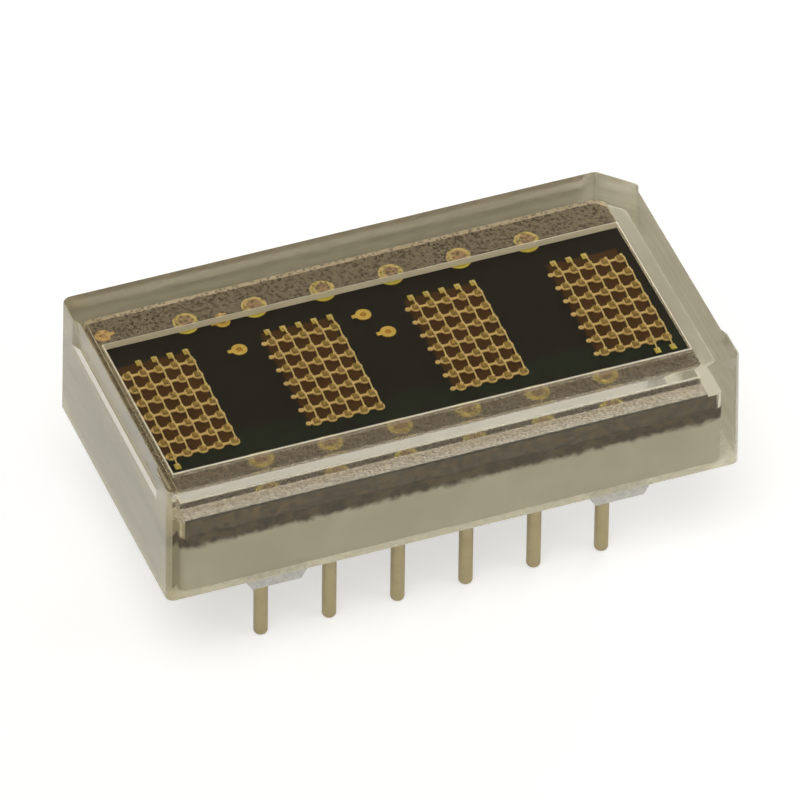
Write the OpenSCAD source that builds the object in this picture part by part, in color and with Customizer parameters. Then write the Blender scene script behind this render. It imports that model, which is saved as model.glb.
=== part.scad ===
// Four-character dot matrix LED display in a clear moulded lens, with two rows of round pins.
// The origin is on the seating plane, in the middle of the pin field. The characters face +Z
// and read along +X. The keyed corner of the lens is at +X, +Y.

/* [Lens] */
// Length of the lens along the line of characters
lens_l = 21.2; // [20.8:0.1:27]
// Width of the lens
lens_w = 11.1; // [10.2:0.1:15]
// Height of the lens above its standoffs
lens_h = 4.9; // [4.2:0.1:7]
// How far the middle of the lens lies from the middle of the pins, towards the keyed end
lens_shift = 0.2; // [0:0.05:0.25]
// Thickness of the side walls
wall_t = 0.6; // [0.4:0.05:0.8]
// Thickness of the roof over the characters
roof_t = 1.35; // [0.8:0.05:1.8]
// Depth of the air pocket, from the board to the roof
pocket_h = 0.45; // [0.35:0.02:0.8]
// Gap between the outer tracks and the ends of the pocket
pocket_end_gap = 0.06; // [0.03:0.01:0.12]
// Gap between the outer bond pads and the sides of the pocket
pocket_side_gap = 0.66; // [0.4:0.02:0.7]
// Legs of the chamfer on the keyed corner
key_chamfer = 1.2; // [0.8:0.05:1.5]
// Radius of the upright corners
corner_r = 0.3; // [0.15:0.05:0.4]
// Lean of the side walls for release from the mould, in degrees
draft = 0.7; // [0:0.1:2]
// Bevel along the top edges
top_bevel = 0.1; // [0.05:0.01:0.2]

/* [Standoffs] */
// Height of the standoffs
standoff_h = 0.5; // [0.3:0.05:0.8]
// Length of a standoff where it leaves the wall
standoff_l = 2.5; // [2:0.1:3]
// How far each end of a standoff leans in towards its foot
standoff_lean = 0.35; // [0:0.05:0.6]
// Setback of a standoff from the outer face
standoff_inset = 0.12; // [0.05:0.01:0.2]

/* [End reliefs] */
// Depth of the shallow relief in each end
relief_d = 0.15; // [0.05:0.01:0.25]
// Length of the relief along the end
relief_l = 8.8; // [6:0.1:8.9]
// Length of the ramp at each side of the relief
relief_ramp = 0.45; // [0.1:0.05:1]
// Height of the relief, down from the top
relief_h = 1.2; // [0.6:0.1:2]

/* [Board] */
// Thickness of the circuit board
board_t = 0.8; // [0.6:0.1:1]
// Gap between the board's edge and the lens
board_clear = 0.05; // [0.02:0.01:0.1]
// Thickness of the plated tracks
track_t = 0.035; // [0.02:0.005:0.04]
// Height of the pin relief over the board
head_room = 0.13; // [0.13:0.01:0.3]

/* [Pins] */
// Distance between neighbouring pins in a row
pin_pitch = 2.54; // [2.3:0.01:3.05]
// Distance between the two rows
row_spacing = 7.62; // [7.2:0.02:8.6]
// Diameter of a pin
pin_d = 0.51; // [0.43:0.01:0.62]
// Length of a pin below the seating plane
pin_below = 3.6; // [3:0.1:6]
// How far the riveted head reaches past the shank
pin_head_lip = 0.125; // [0.08:0.005:0.16]
// Thickness of the riveted head
pin_head_h = 0.06; // [0.04:0.01:0.08]
// Rounding at the pin's tip
pin_tip_r = 0.17; // [0.1:0.01:0.2]
// Gap around a pin in its board hole
pin_hole_clear = 0.045; // [0.02:0.005:0.06]
// Width of the plated ring around a pin hole
pin_ring_w = 0.15; // [0.13:0.01:0.25]

/* [Characters] */
// Distance between characters
char_pitch = 5.33; // [4.4:0.01:5.4]
// Distance between columns of dots
col_pitch = 0.58; // [0.46:0.01:0.64]
// Distance between rows of dots
dot_row_pitch = 0.74; // [0.6:0.01:0.88]
// Middle of the characters along Y
char_y = -0.27; // [-0.3:0.01:0.1]
// Length and width of an LED die
die_w = 0.22; // [0.16:0.01:0.26]
// Height of an LED die
die_h = 0.1; // [0.08:0.01:0.16]
// Diameter of the pad under a die
die_pad_d = 0.38; // [0.34:0.01:0.44]
// Width of a row track between its pads
row_track_w = 0.1; // [0.08:0.01:0.16]
// Diameter of the bonding wire
wire_d = 0.06; // [0.04:0.005:0.07]
// Rise of a wire loop between two dice
wire_rise = 0.1; // [0.06:0.01:0.1]
// Height of the foot that bonds a wire to a die
foot_h = 0.07; // [0.06:0.005:0.09]
// Distance from the last die to its bond pad
bond_pad_gap = 0.55; // [0.5:0.01:0.7]
// Length of a bond pad along the wire
bond_pad_l = 0.26; // [0.2:0.01:0.3]
// Width of a bond pad
bond_pad_w = 0.2; // [0.15:0.01:0.24]

/* [Vias] */
// Diameter of the pad around a via
via_d = 0.56; // [0.4:0.02:0.6]
// Length of the tail on a via's pad
via_tail = 0.42; // [0.3:0.02:0.6]
// Width of the tail
via_tail_w = 0.16; // [0.1:0.02:0.2]
// Diameter of the dimple where the plating sinks into the hole
via_dimple_d = 0.24; // [0.16:0.02:0.3]
// Gap between the via in the corner and the end of the pocket
corner_via_gap = 0.02; // [0.02:0.01:0.1]
// Middle of the via in the corner along Y
corner_via_y = 4.1; // [4:0.05:4.4]

/* [Potting] */
// Gap from the lens's lower edge up to the potting
potting_recess = 0.25; // [0.1:0.05:0.5]
// How far the resin creeps down and out around each pin
resin_creep = 0.14; // [0.05:0.01:0.2]
// Length of a driver chip
chip_l = 4.6; // [3.5:0.1:5]
// Width of a driver chip
chip_w = 2.4; // [1.8:0.1:3]
// Thickness of a driver chip
chip_t = 0.35; // [0.25:0.05:0.45]

/* [Hidden] */
$fn = 48;
eps = 0.01;
PINS_PER_ROW = 6;
CHARS = 4;
COLS = 5;
ROWS = 7;
lens_top = standoff_h + lens_h;
board_top = lens_top - roof_t - pocket_h;
board_bottom = board_top - board_t;
potting_bottom = standoff_h + potting_recess;
track_top = board_top + track_t;
die_top = track_top + die_h;
// the edge of the board lies this far in from the outer face of the lens
board_inset = wall_t + board_clear;
// a 45 degree corner moves in by this share of the wall when the outline shrinks
key_share = 2 - sqrt(2);
pin_r = pin_d / 2;
pin_hole_r = pin_r + pin_hole_clear;
pin_head_r = pin_r + pin_head_lip;
// thickness of the resin's rim where it ends on a pin
creep_edge = 0.015;
// a bond foot is as wide as two wires, and the wire leaves it at mid height
foot_r = wire_d;
wire_mid = foot_h / 2;
// the wires run a little to the right of the middle of the dice
wire_dx = 0.03;
// the track of a row runs on to the left by half a pitch and ends in a small round pad
track_lead = col_pitch / 2;
track_end_r = die_pad_d / 4;
char_half_l = (COLS - 1) / 2 * col_pitch;
char_half_w = (ROWS - 1) / 2 * dot_row_pitch;
// the pocket clears the outer tracks and the outer bond pads
pocket_l = 2 * ((CHARS - 1) / 2 * char_pitch + char_half_l + track_lead + track_end_r + pocket_end_gap);
pocket_w = 2 * (char_half_w + bond_pad_gap + bond_pad_l / 2 + pocket_side_gap);
// which columns of each character are bonded at the front edge instead of the back
front_bonded = [[0], [], [], [3, 4]];
// vias in the gaps between characters, one between two pins of the back row and one in the corner,
// each with the way that its tail points along X
vias = [
    [[0.3 - char_pitch, 1.97], -1],
    [[-2 * pin_pitch, 3.55], -1],
    [[-0.34, 2.23], -1],
    [[0.16, 1.09], -1],
    [[corner_via_gap + via_d / 2 - pocket_l / 2, corner_via_y], 1]
];

PINS = [for (i = [0 : 2 * PINS_PER_ROW - 1]) i];

// ---------- outlines ----------

function unit(v) = v / norm(v);

// corners of a rectangle with its +X, +Y corner cut at 45 degrees
function keyed_corners(l, w, c) = [
    [-l / 2, -w / 2], [l / 2, -w / 2],
    [l / 2, w / 2 - c], [l / 2 - c, w / 2],
    [-l / 2, w / 2]
];

// where the arc at corner i starts and ends, and its middle, for a convex outline
function arm(p, i, step) = unit(p[(i + step + len(p)) % len(p)] - p[i]);
function half_angle(p, i) = acos(arm(p, i, -1) * arm(p, i, 1)) / 2;
function arc_ends(p, i, r) = [
    p[i] + arm(p, i, -1) * r / tan(half_angle(p, i)),
    p[i] + arm(p, i, 1) * r / tan(half_angle(p, i))
];
function arc_middle(p, i, r) =
    p[i] + unit(arm(p, i, -1) + arm(p, i, 1)) * r / sin(half_angle(p, i));

module rounded(p, r) {
    polygon([for (i = [0 : len(p) - 1]) each arc_ends(p, i, r)]);
    for (i = [0 : len(p) - 1])
        translate(arc_middle(p, i, r)) circle(r = r);
}

module keyed_outline(inset, r) {
    translate([lens_shift, 0])
        rounded(
            keyed_corners(lens_l - 2 * inset, lens_w - 2 * inset, key_chamfer - key_share * inset),
            r
        );
}

module slab(bottom, top) {
    translate([0, 0, bottom]) linear_extrude(top - bottom) children();
}

// ---------- places ----------

function pin_at(i) = let (
    front = i < PINS_PER_ROW,
    place = front ? i : 2 * PINS_PER_ROW - 1 - i
) [
    (place - (PINS_PER_ROW - 1) / 2) * pin_pitch,
    (front ? -1 : 1) * row_spacing / 2
];
function char_x(k) = (k - (CHARS + 1) / 2) * char_pitch;
function col_x(j) = j * col_pitch - char_half_l;
function dot_y(i) = char_y + i * dot_row_pitch - char_half_w;
function is_front(k, j) = len(search(j, front_bonded[k - 1])) > 0;
function bond_pad_y(k, j) =
    is_front(k, j) ? dot_y(0) - bond_pad_gap : dot_y(ROWS - 1) + bond_pad_gap;

// ---------- lens ----------

// upright section with leaning sides and a bevelled top
module side_section(width) {
    lean = tan(draft);
    half = width / 2;
    bevel_z = lens_h - top_bevel;
    half_bevel = half - lean * bevel_z;
    polygon([
        [-half, 0], [half, 0],
        [half_bevel, bevel_z], [half_bevel - top_bevel, lens_h],
        [top_bevel - half_bevel, lens_h], [-half_bevel, bevel_z]
    ]);
}

module drafted_block() {
    translate([0, 0, standoff_h])
        intersection() {
            linear_extrude(lens_h) keyed_outline(0, corner_r);
            translate([lens_shift, lens_w / 2 + eps, 0])
                rotate([90, 0, 0]) linear_extrude(lens_w + 2 * eps) side_section(lens_l);
            translate([lens_shift - lens_l / 2 - eps, 0, 0])
                rotate([90, 0, 90]) linear_extrude(lens_l + 2 * eps) side_section(lens_w);
        }
}

module end_relief() {
    depth = relief_d + tan(draft) * lens_h;
    slab(lens_top - relief_h, lens_top + eps)
        polygon([
            [lens_l / 2 + eps, -relief_l / 2],
            [lens_l / 2 - depth, relief_ramp - relief_l / 2],
            [lens_l / 2 - depth, relief_l / 2 - relief_ramp],
            [lens_l / 2 + eps, relief_l / 2]
        ]);
}

// tapered foot on the lower edge of a long wall, under a corner pin
module standoff() {
    thick = wall_t - standoff_inset;
    half = standoff_l / 2;
    translate([0, thick / 2, 0]) rotate([90, 0, 0])
        linear_extrude(thick)
            polygon([
                [standoff_lean - half, 0], [half - standoff_lean, 0],
                [half, standoff_h + eps], [-half, standoff_h + eps]
            ]);
}

module standoffs() {
    foot_y = lens_w / 2 - (wall_t + standoff_inset) / 2;
    for (x = [-1, 1] * pin_at(PINS_PER_ROW - 1)[0], y = [-1, 1] * foot_y)
        translate([x, y, 0]) standoff();
}

module lens() color([0.78, 0.76, 0.68, 0.35]) {
    difference() {
        drafted_block();
        // cavity that takes the board and the potting
        slab(standoff_h - eps, board_top) keyed_outline(wall_t, corner_r);
        // room over the pin heads, closed by the ends that the board seats on
        slab(board_top - eps, board_top + head_room)
            intersection() {
                keyed_outline(wall_t, corner_r);
                square([pocket_l, lens_w], center = true);
            }
        slab(board_top - eps, board_top + pocket_h)
            translate([0, char_y]) square([pocket_l, pocket_w], center = true);
        translate([lens_shift, 0, 0]) {
            end_relief();
            mirror([1, 0, 0]) end_relief();
        }
    }
    standoffs();
}

// ---------- board ----------

module pin_holes(r) {
    for (i = PINS)
        translate(pin_at(i)) circle(r = r);
}

module circuit_board() color([0.10, 0.09, 0.07])
    slab(board_bottom, board_top)
        difference() {
            keyed_outline(board_inset, corner_r);
            pin_holes(pin_hole_r);
        }

module pin_rings() color([0.72, 0.62, 0.38])
    for (i = PINS)
        translate(concat(pin_at(i), board_top))
            linear_extrude(track_t)
                difference() {
                    circle(r = pin_hole_r + pin_ring_w);
                    circle(r = pin_hole_r);
                }

// pad over a plated-through hole, with a dimple in its middle and a short tail
module via(way) {
    difference() {
        slab(board_top, track_top) {
            circle(d = via_d);
            translate([way * via_tail / 2, 0]) square([via_tail, via_tail_w], center = true);
        }
        slab(board_top + track_t / 2, track_top + eps) circle(d = via_dimple_d);
    }
}

module board_pads() color([0.78, 0.66, 0.36])
    for (v = vias)
        translate(v[0]) via(v[1]);

module driver_chip(x) color([0.35, 0.35, 0.38])
    translate([x, char_y, board_bottom - chip_t / 2])
        cube([chip_l, chip_w, chip_t], center = true);

module potting() color([0.66, 0.62, 0.50])
    difference() {
        union() {
            slab(potting_bottom, board_bottom) keyed_outline(wall_t, corner_r);
            for (i = PINS)
                translate(concat(pin_at(i), potting_bottom - resin_creep))
                    cylinder(r1 = pin_r + creep_edge, r2 = pin_r + resin_creep, h = resin_creep);
        }
        slab(potting_bottom - resin_creep - eps, board_bottom + eps) pin_holes(pin_r);
        for (x = [-1, 1] * char_pitch)
            driver_chip(x);
    }

// ---------- pins ----------

module pin_profile() {
    translate([0, pin_tip_r - pin_below])
        square([pin_r, track_top + pin_below - pin_tip_r]);
    translate([0, -pin_below]) square([pin_r - pin_tip_r, pin_tip_r + eps]);
    intersection() {
        translate([pin_r - pin_tip_r, pin_tip_r - pin_below]) circle(r = pin_tip_r);
        translate([0, -pin_below]) square([pin_r, pin_tip_r + eps]);
    }
    // riveted head with a rounded rim
    translate([0, track_top]) square([pin_head_r - pin_head_h, pin_head_h]);
    intersection() {
        translate([pin_head_r - pin_head_h, track_top]) circle(r = pin_head_h);
        translate([0, track_top]) square([pin_head_r, pin_head_h]);
    }
}

module pin(i) color([0.66, 0.60, 0.48])
    translate(pin_at(i)) rotate_extrude() pin_profile();

// ---------- characters ----------

module row_track() {
    left = -char_half_l - track_lead;
    translate([left, -row_track_w / 2]) square([char_half_l - left, row_track_w]);
    translate([left, 0]) circle(r = track_end_r);
    for (j = [0 : COLS - 1])
        translate([col_x(j), 0]) circle(d = die_pad_d);
}

module row_tracks(k) color([0.74, 0.66, 0.48])
    for (i = [0 : ROWS - 1])
        translate([char_x(k), dot_y(i), board_top])
            linear_extrude(track_t) row_track();

module bond_pads(k) color([0.86, 0.76, 0.36])
    for (j = [0 : COLS - 1])
        translate([char_x(k) + col_x(j) + wire_dx, bond_pad_y(k, j), board_top + track_t / 2])
            cube([bond_pad_w, bond_pad_l, track_t], center = true);

module led_dice(k) color([0.36, 0.32, 0.14])
    for (j = [0 : COLS - 1], i = [0 : ROWS - 1])
        translate([char_x(k) + col_x(j), dot_y(i), track_top + die_h / 2])
            cube([die_w, die_w, die_h], center = true);

// a loop of wire in the upright plane along Y, from one bond foot to the next
module wire_loop() {
    half = dot_row_pitch / 2;
    arc_r = (half * half + wire_rise * wire_rise) / (2 * wire_rise);
    sweep = 2 * asin(half / arc_r);
    translate([0, half, wire_rise - arc_r])
        rotate([90, 0, 90]) rotate([0, 0, 90 - sweep / 2])
            rotate_extrude(angle = sweep) translate([arc_r, 0]) circle(d = wire_d);
}

module bond_foot() {
    translate([0, 0, -wire_mid]) cylinder(r = foot_r, h = foot_h);
}

// the straight drop from the top of the last bond foot, clear of the die's edge, to the bond pad
module wire_drop(sign) {
    fall = die_h + foot_h - wire_mid;
    drop = atan2(fall, bond_pad_gap);
    reach = norm([fall, bond_pad_gap]);
    translate([0, 0, foot_h - wire_mid])
        rotate([sign * -(90 + drop), 0, 0]) cylinder(d = wire_d, h = reach);
}

module bond_wire(k, j) {
    sign = is_front(k, j) ? -1 : 1;
    last = is_front(k, j) ? 0 : ROWS - 1;
    translate([char_x(k) + col_x(j) + wire_dx, 0, die_top + wire_mid]) {
        for (i = [0 : ROWS - 1])
            translate([0, dot_y(i), 0]) bond_foot();
        for (i = [0 : ROWS - 2])
            translate([0, dot_y(i), 0]) wire_loop();
        translate([0, dot_y(last), 0]) wire_drop(sign);
        translate([0, bond_pad_y(k, j), -die_h]) bond_foot();
    }
}

module bond_wires(k) color([0.85, 0.75, 0.45])
    for (j = [0 : COLS - 1])
        bond_wire(k, j);

// ---------- build ----------

lens();
circuit_board();
potting();
pin_rings();
board_pads();
driver_chip(-char_pitch);  // driver_chip_left
driver_chip(char_pitch);  // driver_chip_right
pin(0);  // pin_01
pin(1);  // pin_02
pin(2);  // pin_03
pin(3);  // pin_04
pin(4);  // pin_05
pin(5);  // pin_06
pin(6);  // pin_07
pin(7);  // pin_08
pin(8);  // pin_09
pin(9);  // pin_10
pin(10);  // pin_11
pin(11);  // pin_12
row_tracks(1);  // row_tracks_1
row_tracks(2);  // row_tracks_2
row_tracks(3);  // row_tracks_3
row_tracks(4);  // row_tracks_4
bond_pads(1);  // bond_pads_1
bond_pads(2);  // bond_pads_2
bond_pads(3);  // bond_pads_3
bond_pads(4);  // bond_pads_4
led_dice(1);  // led_dice_1
led_dice(2);  // led_dice_2
led_dice(3);  // led_dice_3
led_dice(4);  // led_dice_4
bond_wires(1);  // bond_wires_1
bond_wires(2);  // bond_wires_2
bond_wires(3);  // bond_wires_3
bond_wires(4);  // bond_wires_4
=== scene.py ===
"""Looks of a four-character dot matrix LED display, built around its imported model."""

import math

import bmesh
import bpy
from mathutils import Matrix, Vector, noise


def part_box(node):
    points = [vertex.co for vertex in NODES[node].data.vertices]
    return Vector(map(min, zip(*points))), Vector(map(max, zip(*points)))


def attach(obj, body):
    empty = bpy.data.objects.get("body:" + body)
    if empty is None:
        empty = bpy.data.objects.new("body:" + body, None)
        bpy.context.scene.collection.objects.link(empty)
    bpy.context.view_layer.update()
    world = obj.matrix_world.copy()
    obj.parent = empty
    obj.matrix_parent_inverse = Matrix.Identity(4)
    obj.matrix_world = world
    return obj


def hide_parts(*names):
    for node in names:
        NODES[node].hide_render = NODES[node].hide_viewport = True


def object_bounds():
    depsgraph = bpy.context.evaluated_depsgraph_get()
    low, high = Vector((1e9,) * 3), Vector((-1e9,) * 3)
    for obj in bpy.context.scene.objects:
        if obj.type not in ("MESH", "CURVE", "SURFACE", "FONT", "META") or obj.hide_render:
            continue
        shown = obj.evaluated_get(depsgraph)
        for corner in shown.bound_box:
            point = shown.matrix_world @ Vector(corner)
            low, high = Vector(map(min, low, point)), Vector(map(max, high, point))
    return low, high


bl_info = {
    "name": "Dot matrix LED display",
    "version": (1, 0, 0),
    "blender": (4, 5, 0),
    "location": "View3D > Sidebar > LED display",
    "description": "Clear lens, potting, dot grids, gold work and stage of a dot matrix LED display",
    "category": "Object",
}

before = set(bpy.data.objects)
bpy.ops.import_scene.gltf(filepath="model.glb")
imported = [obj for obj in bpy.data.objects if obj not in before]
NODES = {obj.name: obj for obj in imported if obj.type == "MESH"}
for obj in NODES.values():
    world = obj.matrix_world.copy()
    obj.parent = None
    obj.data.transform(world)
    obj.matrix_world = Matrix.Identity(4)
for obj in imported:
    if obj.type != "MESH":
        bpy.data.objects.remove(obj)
CAD_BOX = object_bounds()
MM = 0.001
ROOT = "root"
CHARACTERS = (1, 2, 3, 4)
COLUMNS, ROWS = 5, 7
BOARD_LOW, BOARD_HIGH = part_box("circuit_board")
LENS_LOW, LENS_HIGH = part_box("lens")
LENS_LENGTH = LENS_HIGH.x - LENS_LOW.x
LENS_WIDTH = LENS_HIGH.y - LENS_LOW.y
LENS_MIDDLE = (LENS_LOW.x + LENS_HIGH.x) / 2
PIN_NODES = sorted(n for n in NODES if n.startswith(("pin_0", "pin_1")))
PIN_AXES = [((low.x + high.x) / 2, (low.y + high.y) / 2) for low, high in map(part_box, PIN_NODES)]

# How far a cutting tool passes the face that it cuts
OVER = 0.5 * MM
# How far the resin's underside lies above the lower rim of the lens
RECESS = 0.25 * MM
# Y from which a face belongs to the back wall of the lens
BACK_WALL = 4 * MM


# ---------- settings ----------


def length(name, description, default, low=0.0, high=0.05):
    """A size in metres with its limits."""
    return bpy.props.FloatProperty(
        name=name, description=description, default=default, min=low, max=high,
        precision=6, unit="LENGTH",
    )


def share(name, description, default, low=0.0, high=1.0):
    """A plain number, such as a roughness or a strength."""
    return bpy.props.FloatProperty(name=name, description=description, default=default, min=low, max=high)


def angle(name, description, degrees, low=-180.0, high=180.0):
    """An angle, given in degrees."""
    return bpy.props.FloatProperty(
        name=name, description=description, default=math.radians(degrees),
        min=math.radians(low), max=math.radians(high), subtype="ANGLE",
    )


def colour(name, description, default):
    """A colour as the eye sees it, from 0 to 255 in each part."""
    return bpy.props.FloatVectorProperty(
        name=name, description=description, subtype="COLOR", size=3, min=0.0, max=1.0,
        default=[linear(part) for part in default],
    )


def linear(part):
    """One part of a screen colour, 0 to 255, as the light it stands for."""
    part /= 255.0
    return part / 12.92 if part <= 0.04045 else ((part + 0.055) / 1.055) ** 2.4


class LensSettings(bpy.types.PropertyGroup):
    foot: length("Standoff height", "Height of the standoffs under the lens", 0.5 * MM)
    wall: length("Wall", "Thickness of the side walls", 0.6 * MM)
    draft: angle("Draft", "Lean of the side walls for release from the mould", 0.7, 0.0, 3.0)
    chamfer: length("Key chamfer", "Legs of the chamfer on the keyed corner", 1.2 * MM)
    corner: length("Corner radius", "Radius of the upright corners", 0.3 * MM)
    top_round: length("Top rounding", "Rounding along the top edges", 0.1 * MM)
    edge_round: length("Edge rounding", "Rounding along all other edges", 0.02 * MM)
    relief_depth: length("Relief depth", "Depth of the shallow relief in each end", 0.15 * MM)
    relief_length: length("Relief length", "Length of the relief along the end", 8.8 * MM)
    relief_ramp: length("Relief ramp", "Length of the ramp at each side of the relief", 0.45 * MM)
    relief_height: length("Relief height", "Height of the relief, down from the top", 1.2 * MM)
    head_room: length("Head room", "Height of the pin relief over the board", 0.13 * MM)
    pocket_height: length("Pocket height", "Depth of the air pocket over the board", 0.45 * MM)
    pocket_length: length("Pocket length", "Length of the air pocket", 19.2 * MM)
    pocket_width: length("Pocket width", "Width of the air pocket", 7.24 * MM)
    pocket_middle: length("Pocket middle", "Middle of the air pocket along Y", -0.21 * MM, -0.005, 0.005)
    pocket_line: length("Pocket line", "Chamfer round the roof of the pocket", 0.055 * MM)
    seat_gap: length("Seat gap", "Air gap where the lens seats on the board", 0.008 * MM)
    standoff_length: length("Standoff length", "Length of a standoff where it leaves the wall", 2.5 * MM)
    standoff_lean: length("Standoff lean", "How far each end of a standoff leans in", 0.35 * MM)
    standoff_inset: length("Standoff inset", "Setback of a standoff from the outer face", 0.12 * MM)
    tint: colour("Plastic", "Colour of the clear moulded plastic", (226, 221, 204))
    milk: colour("Milky plastic", "Colour of the plastic where it is milky", (213, 204, 172))
    far_milk: colour("Milky far end", "Colour of the milky plastic at the long end", (248, 246, 238))
    back: colour("Back", "Colour of the plastic at the outer face of the back", (208, 203, 188))
    frost: colour("Frosted plastic", "Colour of the frosted ledge", (236, 218, 192))
    gloss: share("Gloss", "Strength of the reflection on the plastic", 0.2)
    side_haze: share("Side haze", "Share of light that the front side scatters", 0.03)
    ledge_haze: share("Ledge haze", "Share of light that the frosted ledge scatters", 0.25)
    pocket_haze: share("Pocket haze", "Share of light that the pocket's ground parts scatter", 0.8)
    foot_haze: share("Foot haze", "Share of light that the standoffs and the lower rim scatter", 0.85)
    inner_haze: share("Inner haze", "Share of light that the front wall's inner face scatters", 0.1)
    back_haze: share("Back haze", "Share of light that the outer face of the back scatters", 0.35)
    end_haze: share("End haze", "Share of light that the ends scatter", 0.5)
    index: share("Index", "Refractive index of the plastic", 1.5, 1.0, 2.0)


class ResinSettings(bpy.types.PropertyGroup):
    contact: length("Contact", "How far the resin reaches into the lens wall", 0.015 * MM)
    board_gap: length("Board gap", "Gap between the board's edge and the lens", 0.05 * MM)
    wall_climb: length("Wall climb", "How far the resin creeps down the lens wall", 0.24 * MM)
    pin_climb: length("Pin climb", "How far the resin creeps down each pin", 0.13 * MM)
    skirt: length("Skirt", "How high the resin rises beside the board's edge", 0.5 * MM)
    body: colour("Resin", "Colour of the cured potting resin", (187, 185, 170))
    cloud: colour("Resin clouds", "Paler clouds in the resin", (198, 195, 182))
    creep: colour("Resin creep", "Thin resin that the board shows through", (92, 78, 52))


class BoardSettings(bpy.types.PropertyGroup):
    resist: colour("Solder resist", "Dark brown solder resist of the board", (20, 16, 8))
    field: colour("Character field", "Bare board between the dots of a character", (78, 50, 8))
    green: colour("Green tinge", "Greenish resist in front of the characters", (20, 34, 20))
    laminate: colour("Laminate edge", "Sawn edge of the board", (118, 94, 50))


class DieSettings(bpy.types.PropertyGroup):
    width: length("Die width", "Length and width of an LED die", 0.22 * MM)
    bevel: length("Bevel", "Sloped rim round the top of a die", 0.015 * MM)
    column_pitch: length("Column pitch", "Distance between columns of dots", 0.58 * MM)
    row_pitch: length("Row pitch", "Distance between rows of dots", 0.74 * MM)
    turn: angle("Turn", "How far a die may be turned on its pad", 2.5)
    top: colour("Die top", "Top face of an LED die", (176, 146, 70))
    side: colour("Die side", "Sawn sides of an LED die", (170, 150, 100))


class MetalSettings(bpy.types.PropertyGroup):
    track: colour("Track gold", "Satin gold of the dot pads and row tracks", (242, 216, 156))
    pad: colour("Pad gold", "Bright gold of the bond pads", (240, 228, 120))
    ring: colour("Ring gold", "Gold of the pin rings and vias", (238, 232, 120))
    wire: colour("Wire gold", "Gold of the bonding wires", (242, 222, 168))
    pin: colour("Pin", "Satin plating of the pins", (166, 154, 120))
    # Painted reflection: the pin heads get a darker gold, standing in for the dark surroundings that their
    # domed tops reflect
    head: colour("Pin head", "Stained gold of the pin heads in the board", (196, 160, 104))
    via: colour("Via gold", "Reddish gold of the via pads", (228, 200, 104))


class StageSettings(bpy.types.PropertyGroup):
    distance: length("Camera distance", "From the camera to the aim point", 485.73 * MM, 0.1, 2.0)
    lens: share("Camera lens", "Focal length of the camera in millimetres", 626.4, 50.0, 900.0)
    shift_x: share("Shift across", "Sideways shift of the camera lens", 0.0009, -0.5, 0.5)
    shift_y: share("Shift up", "Upward shift of the camera lens", 0.0406, -0.5, 0.5)
    azimuth: angle("Azimuth", "Turn of the camera from the front towards the left end", 21.088)
    elevation: angle("Elevation", "Height angle of the camera", 41.443)
    roll: angle("Roll", "Roll of the camera about its own axis", 0.69)
    floor: colour("Floor", "Pale paper that the display stands on", (204, 203, 200))
    floor_half: length("Floor reach", "From the middle of the floor to its edge", 2.0, 0.1, 10.0)
    floor_glow: share("Floor glow", "Light of its own that keeps the floor pale", 0.52)
    world: share("World light", "Strength of the even light from all around", 0.2, 0.0, 2.0)


# ---------- shader expressions ----------


def add_node(tree, kind, settings=None, inputs=None):
    """A node of that type: its settings are made first, then its sockets' values or links."""
    node = tree.nodes.new(kind)
    for name, value in (settings or {}).items():
        setattr(node, name, value)
    for key, value in (inputs or {}).items():
        socket = node.inputs[key]
        if isinstance(value, Value):
            tree.links.new(value.socket, socket)
        elif isinstance(value, bpy.types.NodeSocket):
            tree.links.new(value, socket)
        elif socket.type == "RGBA" and len(value) == 3:
            socket.default_value = (*value, 1.0)
        else:
            socket.default_value = value
    return node


class Value:
    """A number that varies over a surface. Its operators add Math nodes."""

    def __init__(self, material, socket):
        self.material = material
        self.socket = socket

    def math(self, operation, *others):
        node = self.material.add("Math", {"operation": operation}, dict(enumerate((self, *others))))
        return Value(self.material, node.outputs[0])

    def __add__(self, other):
        return self.math("ADD", other)

    def __sub__(self, other):
        return self.math("SUBTRACT", other)

    def __rsub__(self, other):
        return self.math("MULTIPLY_ADD", -1.0, other)

    def __mul__(self, other):
        return self.math("MULTIPLY", other)

    def __pow__(self, other):
        return self.math("POWER", other)

    def __gt__(self, other):
        return self.math("GREATER_THAN", other)

    def __lt__(self, other):
        return self.math("LESS_THAN", other)

    __radd__ = __add__
    __rmul__ = __mul__

    def size(self):
        return self.math("ABSOLUTE")

    def ramp(self, low, high):
        """0 at low and 1 at high, with a soft start and end."""
        limits = {"Value": self, "From Min": low, "From Max": high}
        node = self.material.add("MapRange", {"interpolation_type": "SMOOTHSTEP"}, limits)
        return Value(self.material, node.outputs[0])

    def from_nearest(self, first, period):
        """How far the value is past the nearest of places a period apart, one of them first."""
        # The remainder starts whole periods before the object, so that it is never of a negative number
        return (self - (first - 10.5 * period)).math("MODULO", period) - period / 2


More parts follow.
